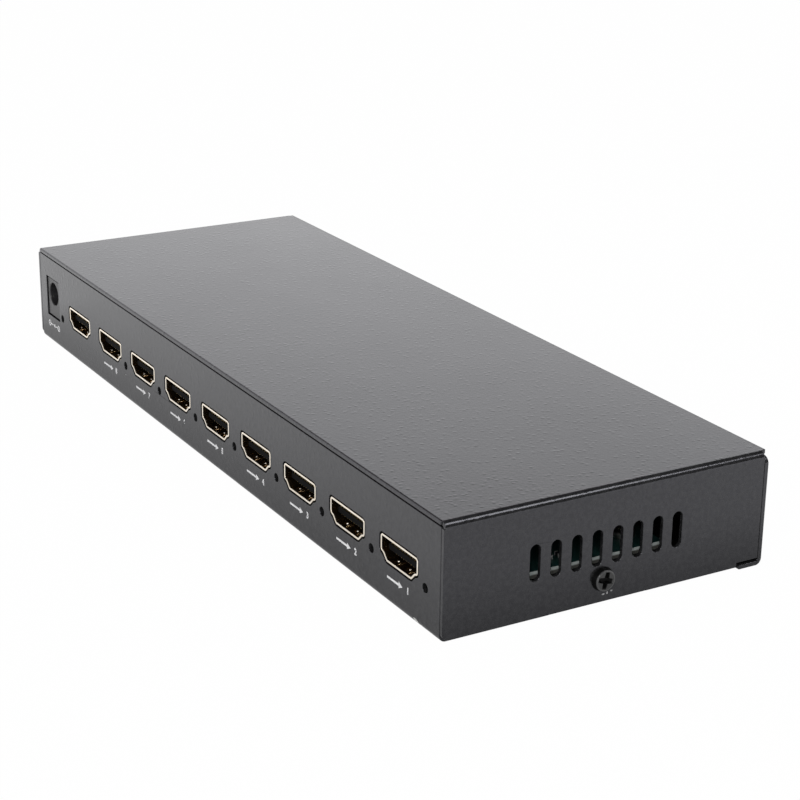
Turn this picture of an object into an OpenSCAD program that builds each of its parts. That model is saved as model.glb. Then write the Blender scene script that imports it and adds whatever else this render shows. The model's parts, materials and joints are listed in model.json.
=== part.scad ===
// Video splitter box: a bent sheet case with a row of video receptacles.
// Millimetres, +Z up. X runs along the length, -Y is the port wall, z = 0 is the underside.

/* [Case] */
// Outer depth of the case, from the port wall to the back wall
case_d = 79.5; // [72:0.5:110]
// Outer height of the case
case_h = 25.9; // [22:0.1:40]
// Thickness of the bent sheet
sheet_t = 1; // [0.8:0.1:1.5]
// Inner bend radius of the base tray
base_bend_in = 0.5; // [0.4:0.1:2]
// Inner bend radius of the top cover
cover_bend_in = 0.4; // [0.3:0.1:2]
// Gap between the two sheets where they overlap at the ends
flap_gap = 0.1; // [0.05:0.05:0.3]
// Gap between the walls' top edges and the cover
lid_gap = 0.25; // [0.1:0.05:0.5]
// Height of the flaps' lower edges above the underside
flap_lift = 0.7; // [0.2:0.1:0.9]
// Radius of the flaps' lower front corners
flap_corner_r = 1.5; // [0.5:0.1:4]
// Depth of the full-length strip of the base along the back wall
rear_strip_d = 6; // [4:0.1:10]
// Gap round that strip in the flaps' lower rear corners
notch_gap = 0.7; // [0.3:0.1:1.2]
// Radius of the back wall's upper corners
back_corner_r = 1.6; // [0.5:0.1:3]
// Setback of the cover's bends behind the port wall's face
bend_relief = 0.3; // [0.1:0.1:1]

/* [Vents] */
// Number of vent slots in each end flap
vent_count = 8; // [4:1:10]
// Distance from slot to slot
vent_pitch = 5; // [4:0.05:6]
// Width of a slot
vent_w = 2.5; // [1.5:0.1:3]
// Height of a slot, end to end
vent_h = 8; // [5:0.1:10]
// Height of the slots' centres above the underside
vent_z = 12.9; // [12:0.1:14]
// Place of the row's centre along the depth
vent_y = -1; // [-6:0.1:6]

/* [Cover screws] */
// Place of the cover screw along the depth
screw_y = -1.9; // [-6:0.1:6]
// Height of the cover screw above the underside
screw_z = 5.9; // [5:0.1:6.5]
// Diameter of the screws' threads
screw_d = 2.9; // [2.4:0.1:3]
// Length of a cover screw under its head
screw_len = 5; // [4:0.5:8]
// Diameter of the screws' heads
head_d = 5.3; // [4.5:0.1:5.6]
// Height of the screws' heads
head_h = 1.3; // [1.2:0.1:2]
// Radius of a head's rounded rim
head_round = 0.45; // [0.2:0.05:0.8]
// Width of a blade of the cross recess
cross_w = 0.9; // [0.5:0.1:1]
// Length of a blade of the cross recess
cross_l = 3.2; // [2:0.1:3.6]
// Depth of the cross recess
cross_deep = 1; // [0.6:0.1:1.1]
// Turn at which the cover screws came to rest
screw_turn = 70; // [0:1:89]
// Running clearance of a thread in its hole, on the radius
thread_gap = 0.05; // [0.02:0.01:0.1]
// Clearance of a thread in a plain hole, on the radius
hole_gap = 0.25; // [0.1:0.05:0.5]
// Width of the base's tabs that take the cover screws
tab_w = 22; // [12:1:30]
// Height of the base's tabs
tab_h = 8.6; // [8:0.1:8.8]
// Width of the relief cuts beside the tabs
tab_relief = 1; // [0.5:0.1:2]

/* [Port row] */
// Number of output ports
out_count = 8; // [4:1:8]
// Distance from port to port
port_pitch = 21.7; // [20:0.1:26]
// Distance from the left end to the input port's centre
left_margin = 30; // [27:0.1:40]
// Distance from the first output port's centre to the right end
right_margin = 17.3; // [16:0.1:30]
// Width of a port's opening
port_w = 14; // [13.5:0.1:14.5]
// Height of a port's opening
port_h = 4.6; // [4.4:0.1:5]
// Width of the opening's narrow lower edge
port_foot_w = 9.5; // [9:0.1:10]
// Height of the straight sides' lower ends above the lower edge
port_side_z = 1.65; // [1.4:0.05:1.9]
// Width of the small step below the straight sides
port_step_w = 0.9; // [0.3:0.05:1.1]
// Height of that step
port_step_h = 0.3; // [0.1:0.05:0.5]
// Radius of the opening's corners
port_corner_r = 0.35; // [0.15:0.05:0.4]
// Depth of a port's shell
port_d = 11.5; // [10:0.1:13]
// Sheet thickness of a port's shell
shell_t = 0.45; // [0.25:0.05:0.5]
// Gap between a shell and its cut-out
port_gap = 0.4; // [0.3:0.05:0.8]
// Setback of the shells behind the port wall's face
port_recess = 0.1; // [0:0.1:0.9]
// Height of a shell's underside above the board
port_lift = 0.8; // [0.5:0.1:1.5]
// Width of a shell's legs along the depth
leg_w = 1.6; // [1:0.1:2]

/* [Port insides] */
// Width of the tongue
tongue_w = 11; // [10.6:0.1:11.4]
// Thickness of the tongue
tongue_t = 1.3; // [1.1:0.1:1.5]
// Height of the tongue's middle above the opening's lower edge
tongue_z = 2.6; // [2.4:0.1:2.7]
// Setback of the tongue's tip behind the shell's mouth
tongue_setback = 0.9; // [0.5:0.1:2]
// Depth of the block that closes the shell's rear
block_d = 3.5; // [2.5:0.1:4.5]
// Thickness of the rear plate that guides the contacts' tails
rear_plate_t = 0.8; // [0.5:0.1:1.2]
// Clearance of the block in its shell
block_gap = 0.04; // [0.02:0.01:0.08]
// Distance from contact to contact in one row
contact_pitch = 1; // [0.9:0.05:1.05]
// Width of a contact
contact_w = 0.36; // [0.24:0.02:0.42]
// Thickness of a contact
contact_t = 0.2; // [0.12:0.02:0.24]
// Contacts in the upper row, one more than in the lower row
contact_count = 10; // [6:1:10]
// Clearance of a contact in its slot
contact_gap = 0.03; // [0.01:0.01:0.06]
// Length of a contact's foot on the board
contact_foot = 0.9; // [0.5:0.1:1.5]
// Distance from a port's centre to the middle of a spring finger
finger_x = 2.3; // [2:0.1:3.4]
// Width of a spring finger
finger_w = 1.7; // [1:0.1:2]
// Length of a spring finger
finger_l = 3.2; // [3:0.1:6]
// Height of a spring finger's hump
finger_rise = 0.45; // [0.2:0.05:0.5]
// Setback of the spring fingers behind the shell's mouth
finger_setback = 0.5; // [0.5:0.1:2]

/* [Power jack] */
// Distance from the left end to the jack's centre
jack_margin = 10.15; // [10:0.05:13]
// Width of the jack's housing
jack_w = 8.6; // [8:0.1:9]
// Height of the jack's housing
jack_h = 10.7; // [10:0.1:11.5]
// Depth of the jack's housing
jack_d = 14; // [12:0.1:16]
// Gap between the housing and its cut-out
jack_gap = 0.3; // [0.1:0.05:0.4]
// Setback of the housing behind the port wall's face
jack_recess = 0.3; // [0:0.1:0.9]
// Diameter of the plug's hole
jack_bore_d = 6.3; // [5.6:0.1:6.6]
// Depth of the plug's hole
jack_bore_deep = 9.6; // [8.5:0.1:10.5]
// Height of the plug's hole above the board
jack_bore_z = 6.5; // [6.3:0.1:6.8]
// Diameter of the centre pin
jack_pin_d = 2; // [1.6:0.1:2.5]
// Setback of the pin's tip behind the housing's face
jack_pin_setback = 2; // [0.5:0.1:3]
// Clearance of the pin in the housing's rear wall
jack_pin_gap = 0.03; // [0.01:0.01:0.06]
// Width of the sleeve spring
spring_w = 2.4; // [1.8:0.1:2.8]
// Thickness of the sleeve spring
spring_t = 0.3; // [0.2:0.05:0.4]
// Clearance round the sleeve spring
spring_gap = 0.3; // [0.2:0.05:0.4]
// Height of the spring's hump inside the plug's hole
spring_rise = 0.4; // [0.2:0.05:0.5]
// Radius of the rolled root of the spring
spring_root_r = 0.5; // [0.4:0.05:0.6]
// Travel of the spring's hump when a plug pushes it down
spring_travel = 0.7; // [0.4:0.05:0.8]
// Thickness of the jack's terminals
terminal_t = 0.4; // [0.3:0.05:0.6]

/* [Indicator lights] */
// Diameter of the holes for the lights
led_hole_d = 2; // [1.5:0.1:2.4]
// Distance from an output port's centre to its light
led_offset = 10.5; // [9.9:0.1:11]
// Distance from the jack's centre to the power light
power_led_offset = 6.9; // [6.6:0.1:7.2]
// Height of the lights' centres above the board
led_z = 1.28; // [1.2:0.02:1.4]
// Width of a light's body
led_w = 2.6; // [2:0.1:3]
// Height of a light's body
led_h = 2.3; // [2:0.1:2.5]
// Depth of a light's body
led_d = 1.4; // [1:0.1:2]
// Diameter of a light's lens
led_lens_d = 1.6; // [1:0.1:1.8]
// Setback of the lights behind the board's front edge
led_setback = 1.2; // [0.5:0.1:3]

/* [Board] */
// Thickness of the circuit board
board_t = 1.6; // [1:0.1:2]
// Depth of the circuit board
board_d = 55.5; // [52:0.5:60]
// Gap between the board's front edge and the port wall
board_front_gap = 0.5; // [0.3:0.1:0.8]
// Gap between the board's ends and the cover screws' tips
board_end_gap = 0.4; // [0.3:0.1:2]
// Height of the standoffs under the board
standoff_h = 5.6; // [4.5:0.1:6]
// Width of a standoff across its flats
standoff_af = 5; // [4.5:0.1:6]
// Distance from the board's ends to the outer standoffs
standoff_end = 6.6; // [5:0.1:10]
// Distance from the board's front edge to the front standoffs
standoff_front = 20; // [18.5:0.1:21.5]
// Distance from the board's rear edge to the rear standoffs
standoff_rear = 5.5; // [4:0.1:7]
// Length of a board screw under its head
board_screw_len = 5; // [4:0.5:6]

/* [Board parts] */
// Side of a splitter chip
chip_w = 10; // [8:0.5:12]
// Height of the chips
chip_h = 1; // [0.8:0.1:1.4]
// Radius of the dimple that marks a chip's first pin
chip_dimple_r = 0.5; // [0.3:0.1:0.8]
// Depth of that dimple
chip_dimple_deep = 0.2; // [0.1:0.05:0.4]
// Distance from the board's front edge to the chips' centres
chip_y = 31; // [29:0.5:34]
// Length of the memory chip
memory_l = 4.9; // [4:0.1:5.5]
// Width of the memory chip
memory_w = 3.9; // [3:0.1:4.5]
// Distance from the input chip's centre to the memory chip
memory_x = 16; // [14:0.5:20]
// Length of the crystal's can
crystal_l = 10; // [8:0.1:11.5]
// Width of the crystal's can
crystal_w = 4; // [3:0.1:4.8]
// Height of the crystal's can
crystal_h = 3.5; // [2:0.1:4]
// Distance from the input chip's centre back to the crystal
crystal_y = 11; // [10:0.5:12]
// Side of the inductor
inductor_w = 6; // [5:0.1:7]
// Height of the inductor
inductor_h = 3; // [2:0.1:4]
// Distance from the left standoffs to the power parts
power_x = 6.6; // [6.3:0.1:6.8]
// Length of the regulator's body
regulator_l = 6.5; // [5:0.1:7]
// Width of the regulator's body
regulator_w = 3.5; // [3:0.1:4]
// Height of the regulator's body
regulator_h = 1.7; // [1.4:0.1:2]
// Length of the regulator's leads
regulator_lead = 1.7; // [1:0.1:2]
// Diameter of a supply capacitor
can_d = 6.3; // [5:0.1:6.6]
// Height of a supply capacitor
can_h = 5.4; // [4:0.1:7]
// Thickness of a supply capacitor's foot plate
can_foot_h = 0.6; // [0.4:0.1:1]
// Distance from one power part to the next along the depth
power_pitch = 9; // [8:0.1:9.5]
// Length of the small chip parts
chip_part_l = 1.6; // [1:0.1:2]
// Width of the small chip parts
chip_part_w = 0.8; // [0.5:0.1:1]
// Distance from one small chip part to the next
chip_part_pitch = 2.2; // [1.8:0.1:2.4]
// Distance from the board's right end to the end resistors
end_part_x = 4; // [3:0.1:5]
// Place of the end resistors along the depth
end_part_y = -6.5; // [-8:0.1:-4]

/* [Hidden] */
$fn = 48;
// Overlap that carries a cut past the face it opens
cut = 1;
// Segments in a rounded corner of a port's outline
corner_steps = 4;
// Rows and columns of standoffs
standoff_columns = [-1, 0, 1];

case_l = left_margin + out_count * port_pitch + right_margin;
half_l = case_l / 2;
front_y = -case_d / 2;
back_y = case_d / 2;
base_bend = base_bend_in + sheet_t;
cover_bend = cover_bend_in + sheet_t;
wall_h = case_h - sheet_t - lid_gap;
// The part of the base that lies between the two flaps
inner_l = case_l - 2 * (sheet_t + flap_gap);
flap_rear_y = back_y - sheet_t - flap_gap;

board_l = case_l - 2 * (screw_len + board_end_gap);
board_z = sheet_t + standoff_h;
board_top = board_z + board_t;
board_front = front_y + sheet_t + board_front_gap;
board_back = board_front + board_d;
standoff_x = board_l / 2 - standoff_end;
standoff_rows = [board_front + standoff_front, board_back - standoff_rear];

input_x = -half_l + left_margin;
jack_x = -half_l + jack_margin;
power_led_x = jack_x + power_led_offset;
port_z = board_top + port_lift + shell_t;
port_y = front_y + port_recess;
port_back = port_y + port_d;
block_y = port_back - block_d;
plate_back = port_back + rear_plate_t;
led_height = board_top + led_z;

jack_y = front_y + jack_recess;
jack_back = jack_y + jack_d;
bore_z = board_top + jack_bore_z;
bore_bottom = bore_z - jack_bore_d / 2;
spring_root_y = jack_y + jack_bore_deep;
spring_root_z = bore_bottom - spring_root_r - spring_gap;
spring_hump_y = jack_y + jack_bore_deep / 2;
spring_tip_y = spring_hump_y - jack_bore_deep / 4;
spring_floor = spring_root_z - spring_root_r - spring_travel - spring_gap;
terminal_y = spring_root_y + spring_root_r + spring_gap;

chip_line = board_front + chip_y;
power_line = power_x - standoff_x;

case_black = "#2d2d2f";
screw_black = "#1f1f21";
gold = "#c8a45a";
plastic_black = "#141414";
board_green = "#1d4a36";
brass = "#b99a54";
nickel = "#b5b5b0";
lens_white = "#dcdccf";
chip_grey = "#232325";
ferrite_grey = "#4a4a4c";
ceramic_tan = "#b08a64";

PORTS = concat(["input"], [for (n = [1 : out_count]) str("output_", n)]);

// Centre of a port: number 0 is the input, and output 1 lies at the right end
function port_x(n) = n == 0 ? input_x : input_x + (out_count + 1 - n) * port_pitch;

// Outlines: points of a closed outline, anticlockwise
function unit(v) = v / norm(v);
function neighbour(points, i) = points[(i + len(points)) % len(points)];
function edge_normal(a, b) = unit([b.y - a.y, a.x - b.x]);
function grown(points, by) = [
    for (i = [0 : len(points) - 1])
        let (
            before = edge_normal(neighbour(points, i - 1), points[i]),
            after = edge_normal(points[i], neighbour(points, i + 1))
        )
        points[i] + (before + after) * by / (1 + before * after)
];
function corner_arc(a, b, c, r) =
    let (
        u = unit(a - b),
        w = unit(c - b),
        half = acos(u * w) / 2,
        centre = b + unit(u + w) * r / sin(half),
        from = b + u * r / tan(half) - centre,
        to = b + w * r / tan(half) - centre,
        start = atan2(from.y, from.x),
        turn = (atan2(to.y, to.x) - start + 540) % 360 - 180
    )
    [for (i = [0 : corner_steps]) let (a = start + turn * i / corner_steps) centre + r * [cos(a), sin(a)]];
function rounded(points, r) = [
    for (i = [0 : len(points) - 1])
        each corner_arc(neighbour(points, i - 1), points[i], neighbour(points, i + 1), r)
];
function port_outline() = [
    [-port_foot_w / 2, 0],
    [port_foot_w / 2, 0],
    [port_w / 2 - port_step_w, port_side_z - port_step_h],
    [port_w / 2, port_side_z],
    [port_w / 2, port_h],
    [-port_w / 2, port_h],
    [-port_w / 2, port_side_z],
    [-port_w / 2 + port_step_w, port_side_z - port_step_h]
];
// A thin strip that follows a path, with its thickness upwards
function strip(path, t) = concat(path, [for (i = [len(path) - 1 : -1 : 0]) path[i] + [0, t]]);

// Extrusions: a profile's first axis is Y and its second Z, or X and Z
module along_x(from, to) {
    translate([from, 0, 0])
        rotate([90, 0, 90])
            linear_extrude(to - from)
                children();
}

module along_y(from, to) {
    translate([0, to, 0])
        rotate([90, 0, 0])
            linear_extrude(to - from)
                children();
}

module rod_x(d, from, to) {
    translate([from, 0, 0])
        rotate([0, 90, 0])
            cylinder(h = to - from, d = d);
}

module rod_y(d, from, to) {
    translate([0, to, 0])
        rotate([90, 0, 0])
            cylinder(h = to - from, d = d);
}

// A trough's solid section, open edge up, with rounded lower corners
module trough(w, h, r) {
    translate([-w / 2, r])
        square([w, h - r]);
    translate([r - w / 2, 0])
        square([w - 2 * r, h]);
    for (side = [-1, 1])
        translate([side * (w / 2 - r), r])
            circle(r);
}

// A sheet bent into a U
module bent_u(w, h, r) {
    difference() {
        trough(w, h, r);
        translate([0, sheet_t])
            trough(w - 2 * sheet_t, h, r - sheet_t);
    }
}

// What is cut from a square corner at the origin to round it
module corner_waste(r) {
    difference() {
        translate([-cut, -cut])
            square(r + cut);
        translate([r, r])
            circle(r);
    }
}

module port_shape(by) {
    polygon(rounded(grown(port_outline(), by), port_corner_r + by));
}

module stadium(w, h) {
    translate([-w / 2, w / 2 - h / 2])
        square([w, h - w]);
    for (side = [-1, 1])
        translate([0, side * (h - w) / 2])
            circle(d = w);
}

// Screws stand on z = 0 with the head up
module pan_screw(length) {
    head_r = head_d / 2;
    difference() {
        union() {
            rotate_extrude() {
                square([head_r, head_h - head_round]);
                square([head_r - head_round, head_h]);
                translate([head_r - head_round, head_h - head_round])
                    circle(head_round);
            }
            translate([0, 0, -length])
                cylinder(h = length + head_h / 4, d = screw_d);
        }
        for (turn = [0, 90])
            rotate(turn)
                translate([-cross_l / 2, -cross_w / 2, head_h - cross_deep])
                    cube([cross_l, cross_w, cross_deep + cut]);
    }
}

// Bent case
module base_tab() {
    along_y(screw_y - tab_w / 2, screw_y + tab_w / 2)
        intersection() {
            bent_u(inner_l, tab_h, base_bend);
            translate([inner_l / 2 - 2 * base_bend, 0])
                square([2 * base_bend, tab_h]);
        }
}

module tab_slot() {
    slot_w = tab_w + 2 * tab_relief;
    translate([inner_l / 2 - base_bend - tab_relief, screw_y - slot_w / 2, -cut])
        cube([base_bend + tab_relief + cut, slot_w, sheet_t + 2 * cut]);
}

module base_bends() {
    along_x(-inner_l / 2, inner_l / 2)
        bent_u(case_d, wall_h, base_bend);
    along_x(-half_l, half_l)
        intersection() {
            bent_u(case_d, wall_h, base_bend);
            translate([back_y - rear_strip_d, 0])
                square([rear_strip_d, wall_h]);
        }
}

module port_wall_cuts() {
    wall = [front_y - cut, front_y + sheet_t + cut];
    for (n = [0 : out_count])
        translate([port_x(n), 0, port_z])
            along_y(wall[0], wall[1])
                port_shape(shell_t + port_gap);
    for (n = [1 : out_count])
        translate([port_x(n) + led_offset, 0, led_height])
            rod_y(led_hole_d, wall[0], wall[1]);
    translate([power_led_x, 0, led_height])
        rod_y(led_hole_d, wall[0], wall[1]);
    translate([jack_x - jack_w / 2 - jack_gap, wall[0], board_top - jack_gap])
        cube([jack_w + 2 * jack_gap, wall[1] - wall[0], jack_h + 2 * jack_gap]);
}

module back_wall_corners() {
    for (side = [0, 1])
        mirror([side, 0, 0])
            along_y(back_y - sheet_t - cut, back_y + cut)
                translate([half_l, wall_h])
                    rotate(180)
                        corner_waste(back_corner_r);
}

module base_tray() {
    color(case_black)
        difference() {
            union() {
                difference() {
                    base_bends();
                    tab_slot();
                    mirror([1, 0, 0])
                        tab_slot();
                }
                base_tab();
                mirror([1, 0, 0])
                    base_tab();
            }
            port_wall_cuts();
            back_wall_corners();
            translate([0, screw_y, screw_z])
                rod_x(screw_d + 2 * thread_gap, -half_l, half_l);
        }
}

module flap_cuts() {
    for (i = [0 : vent_count - 1])
        translate([0, vent_y + (i - (vent_count - 1) / 2) * vent_pitch, vent_z])
            along_x(half_l - sheet_t - cut, half_l + cut)
                stadium(vent_w, vent_h);
    translate([0, screw_y, screw_z])
        rod_x(screw_d + 2 * hole_gap, half_l - sheet_t - cut, half_l + cut);
}

// Frees the cover's bend at the front corner
module bend_relief_cut() {
    translate([half_l - cover_bend, front_y - cut, case_h - cover_bend])
        cube([cover_bend + cut, bend_relief + cut, cover_bend + cut]);
}

module top_cover() {
    notch_d = rear_strip_d + notch_gap;
    color(case_black)
        difference() {
            union() {
                along_y(front_y, flap_rear_y)
                    translate([0, case_h])
                        mirror([0, 1])
                            bent_u(case_l, case_h - flap_lift, cover_bend);
                translate([cover_bend - half_l, flap_rear_y - cut, case_h - sheet_t])
                    cube([case_l - 2 * cover_bend, back_y - flap_rear_y + cut, sheet_t]);
            }
            for (side = [0, 1])
                mirror([side, 0, 0]) {
                    flap_cuts();
                    bend_relief_cut();
                }
            along_x(-half_l - cut, half_l + cut) {
                translate([front_y, flap_lift])
                    corner_waste(flap_corner_r);
                translate([back_y - notch_d, 0])
                    square([notch_d, sheet_t + notch_gap]);
            }
        }
}

module cover_screw(side) {
    color(screw_black)
        translate([side * half_l, screw_y, screw_z])
            rotate([0, side * 90, 0])
                rotate(screw_turn)
                    pan_screw(screw_len);
}

// Board and what carries it
module at_standoffs(z) {
    for (column = standoff_columns, y = standoff_rows)
        translate([column * standoff_x, y, z])
            children();
}

module main_board() {
    color(board_green)
        difference() {
            translate([-board_l / 2, board_front, board_z])
                cube([board_l, board_d, board_t]);
            at_standoffs(board_z - cut)
                cylinder(h = board_t + 2 * cut, d = screw_d + 2 * hole_gap);
        }
}

module board_standoffs() {
    color(brass)
        at_standoffs(sheet_t)
            difference() {
                cylinder(h = standoff_h, d = standoff_af / cos(30), $fn = 6);
                translate([0, 0, -cut])
                    cylinder(h = standoff_h + 2 * cut, d = screw_d + 2 * thread_gap);
            }
}

module board_screws() {
    color(nickel)
        at_standoffs(board_top)
            pan_screw(board_screw_len);
}

// Video receptacles, drawn about x = 0
module spring_fingers() {
    hump = [[0, 0], [finger_l / 3, finger_rise], [finger_l, 0]];
    for (side = [-1, 1])
        along_x(side * finger_x - finger_w / 2, side * finger_x + finger_w / 2)
            translate([port_y + finger_setback, -shell_t])
                polygon(strip(hump, shell_t));
}

module port_shell(n) {
    leg_x = port_w / 2 + shell_t;
    color(gold)
        translate([port_x(n), 0, port_z]) {
            along_y(port_y, port_back)
                difference() {
                    port_shape(shell_t);
                    port_shape(0);
                }
            spring_fingers();
            translate([0, 0, port_h])
                mirror([0, 0, 1])
                    spring_fingers();
            for (side = [0, 1], y = [port_y + 2 * leg_w, port_back - 2 * leg_w])
                mirror([side, 0, 0])
                    translate([leg_x - shell_t, y, board_top - port_z])
                        cube([shell_t, leg_w, port_z - board_top + port_side_z + shell_t]);
        }
}

// One row of contacts: along the tongue, through the block and down to the board
module contact_row(count, z, by) {
    tip_y = port_y + tongue_setback + contact_t;
    floor_z = board_top - port_z;
    for (i = [0 : count - 1])
        translate([(i - (count - 1) / 2) * contact_pitch - contact_w / 2 - by, 0, 0]) {
            w = contact_w + 2 * by;
            translate([0, tip_y, z - by])
                cube([w, plate_back + contact_t - tip_y, contact_t + 2 * by]);
            translate([0, plate_back - by, floor_z])
                cube([w, contact_t + 2 * by, z + contact_t + by - floor_z]);
            translate([0, plate_back - by, floor_z])
                cube([w, contact_foot, contact_t + by]);
        }
}

module contact_rows(by) {
    contact_row(contact_count, tongue_z + tongue_t / 2, by);
    contact_row(contact_count - 1, tongue_z - tongue_t / 2 - contact_t, by);
}

module port_contacts(n) {
    color(gold)
        translate([port_x(n), 0, port_z])
            contact_rows(0);
}

module port_tongue(n) {
    color(plastic_black)
        translate([port_x(n), 0, port_z])
            difference() {
                union() {
                    along_y(block_y, port_back)
                        port_shape(-block_gap);
                    translate([-tongue_w / 2, port_y + tongue_setback, tongue_z - tongue_t / 2])
                        cube([tongue_w, port_d - tongue_setback, tongue_t]);
                    translate([-port_foot_w / 2, port_back, board_top - port_z])
                        cube([port_foot_w, rear_plate_t, port_z - board_top + port_h]);
                }
                contact_rows(contact_gap);
            }
}

// Power jack
module dc_jack_housing() {
    slot_w = spring_w + 2 * spring_gap;
    slot_top = bore_bottom + spring_rise + spring_gap;
    color(plastic_black)
        difference() {
            translate([jack_x - jack_w / 2, jack_y, board_top])
                cube([jack_w, jack_d, jack_h]);
            translate([jack_x, 0, bore_z]) {
                rod_y(jack_bore_d, jack_y - cut, jack_y + jack_bore_deep);
                rod_y(jack_pin_d + 2 * jack_pin_gap, jack_y, jack_back + cut);
            }
            translate([jack_x - slot_w / 2, 0, 0]) {
                translate([0, spring_tip_y - spring_gap, spring_floor])
                    cube([slot_w, jack_back + cut - spring_tip_y, slot_top - spring_floor]);
                translate([0, terminal_y - spring_gap, board_top - cut])
                    cube([slot_w, jack_back + cut - terminal_y, spring_root_z - board_top]);
            }
        }
}

module dc_jack_pin() {
    color(nickel)
        translate([jack_x, 0, 0]) {
            translate([0, 0, bore_z])
                rod_y(jack_pin_d, jack_y + jack_pin_setback, jack_back + terminal_t);
            translate([-jack_pin_d / 2, jack_back, board_top])
                cube([jack_pin_d, terminal_t, jack_bore_z]);
        }
}

module dc_jack_spring() {
    path = [
        [spring_tip_y, spring_root_z],
        [spring_hump_y, bore_bottom + spring_rise - spring_t],
        [spring_root_y, spring_root_z - spring_t / 2]
    ];
    color(nickel)
        translate([jack_x, 0, 0]) {
            along_x(-spring_w / 2, spring_w / 2)
                polygon(strip(path, spring_t));
            translate([0, spring_root_y, spring_root_z])
                rod_x(2 * spring_root_r, -spring_w / 2, spring_w / 2);
        }
}

module dc_jack_terminal() {
    color(nickel)
        translate([jack_x - spring_w / 2, terminal_y, board_top])
            cube([spring_w, terminal_t, spring_root_z - board_top]);
}

// Indicator lights
module led_at(x) {
    front = board_front + led_setback;
    color(lens_white)
        translate([x, 0, 0]) {
            translate([-led_w / 2, front, board_top])
                cube([led_w, led_d, led_h]);
            translate([0, 0, led_height])
                rod_y(led_lens_d, front - led_d / 2, front + led_d / 2);
        }
}

module power_led() {
    led_at(power_led_x);
}

module output_leds() {
    for (n = [1 : out_count])
        led_at(port_x(n) + led_offset);
}

// Parts on the board
module on_board(x, y, size) {
    translate([x - size.x / 2, y - size.y / 2, board_top])
        cube(size);
}

module flat_chip(x, y, size) {
    color(chip_grey)
        difference() {
            on_board(x, y, size);
            translate([x, y, 0] - [size.x, size.y, 0] / 2 + [1, 1, 0] * 2 * chip_dimple_r)
                translate([0, 0, board_top + size.z - chip_dimple_deep])
                    cylinder(h = chip_dimple_deep + cut, r = chip_dimple_r);
        }
}

module splitter_chip(x) {
    flat_chip(x, chip_line, [chip_w, chip_w, chip_h]);
}

module memory_chip() {
    flat_chip(input_x + memory_x, chip_line, [memory_l, memory_w, chip_h]);
}

module clock_crystal() {
    color(nickel)
        translate([input_x, chip_line + crystal_y, board_top])
            linear_extrude(crystal_h)
                rotate(90)
                    stadium(crystal_w, crystal_l);
}

module power_inductor() {
    color(ferrite_grey)
        on_board(power_line, chip_line, [inductor_w, inductor_w, inductor_h]);
}

module voltage_regulator() {
    color(chip_grey) {
        on_board(power_line, chip_line - power_pitch, [regulator_l, regulator_w, regulator_h]);
        for (side = [-1, 0, 1])
            on_board(
                power_line + side * regulator_l / 3,
                chip_line - power_pitch - regulator_w / 2 - regulator_lead / 2 + chip_part_w / 2,
                [chip_part_w, regulator_lead + chip_part_w, regulator_h / 4]
            );
    }
}

module supply_capacitors() {
    color(nickel)
        for (i = [1 : 2])
            translate([power_line, chip_line + i * power_pitch, 0]) {
                on_board(0, 0, [can_d, can_d, can_foot_h]);
                translate([0, 0, board_top])
                    cylinder(h = can_h, d = can_d);
            }
}

module chip_part(x, y) {
    on_board(x, y, [chip_part_l, chip_part_w, chip_part_w]);
}

module bypass_capacitors() {
    row_y = chip_line + chip_w / 2 + chip_part_pitch;
    color(ceramic_tan)
        for (x = [port_x(2) - port_pitch / 2, port_x(6) - port_pitch / 2], i = [-2 : 2])
            chip_part(x + i * chip_part_pitch, row_y);
}

module end_resistors() {
    color(plastic_black)
        for (i = [-1 : 1])
            chip_part(board_l / 2 - end_part_x, end_part_y + i * chip_part_pitch);
}

base_tray();
top_cover();
cover_screw(-1);  // cover_screw_left
cover_screw(1);  // cover_screw_right
main_board();
board_standoffs();
board_screws();
for (n = [0 : out_count]) {
    port_shell(n);
    port_tongue(n);
    port_contacts(n);
}
dc_jack_housing();
dc_jack_pin();
dc_jack_spring();
dc_jack_terminal();
power_led();
output_leds();
splitter_chip(input_x);  // input_chip
splitter_chip(port_x(6) - port_pitch / 2);  // output_chip_left
splitter_chip(port_x(2) - port_pitch / 2);  // output_chip_right
memory_chip();
clock_crystal();
power_inductor();
voltage_regulator();
supply_capacitors();
bypass_capacitors();
end_resistors();
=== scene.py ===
import json
import math

import bpy
from mathutils import Matrix, Vector


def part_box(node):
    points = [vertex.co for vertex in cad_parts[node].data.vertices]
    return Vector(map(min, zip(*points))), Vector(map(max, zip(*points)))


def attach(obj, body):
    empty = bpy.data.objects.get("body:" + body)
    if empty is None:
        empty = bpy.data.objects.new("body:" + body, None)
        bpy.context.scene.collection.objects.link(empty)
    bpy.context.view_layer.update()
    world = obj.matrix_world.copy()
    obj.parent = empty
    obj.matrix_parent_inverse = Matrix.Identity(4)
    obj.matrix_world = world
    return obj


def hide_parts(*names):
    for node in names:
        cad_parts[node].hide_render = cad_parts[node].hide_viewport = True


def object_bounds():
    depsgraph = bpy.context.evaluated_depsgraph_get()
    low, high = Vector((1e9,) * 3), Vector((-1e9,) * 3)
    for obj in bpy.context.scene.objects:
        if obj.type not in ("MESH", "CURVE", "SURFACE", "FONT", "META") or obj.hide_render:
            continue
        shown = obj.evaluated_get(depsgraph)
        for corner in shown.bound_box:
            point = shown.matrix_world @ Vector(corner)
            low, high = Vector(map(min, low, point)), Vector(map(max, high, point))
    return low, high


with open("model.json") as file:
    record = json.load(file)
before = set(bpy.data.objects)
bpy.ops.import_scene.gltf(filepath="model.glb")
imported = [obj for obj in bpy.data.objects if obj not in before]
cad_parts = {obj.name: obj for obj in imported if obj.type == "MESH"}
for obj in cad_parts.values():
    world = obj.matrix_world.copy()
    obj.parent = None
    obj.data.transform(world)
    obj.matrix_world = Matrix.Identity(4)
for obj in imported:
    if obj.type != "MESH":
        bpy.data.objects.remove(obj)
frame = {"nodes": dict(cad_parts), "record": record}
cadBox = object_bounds()
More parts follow.
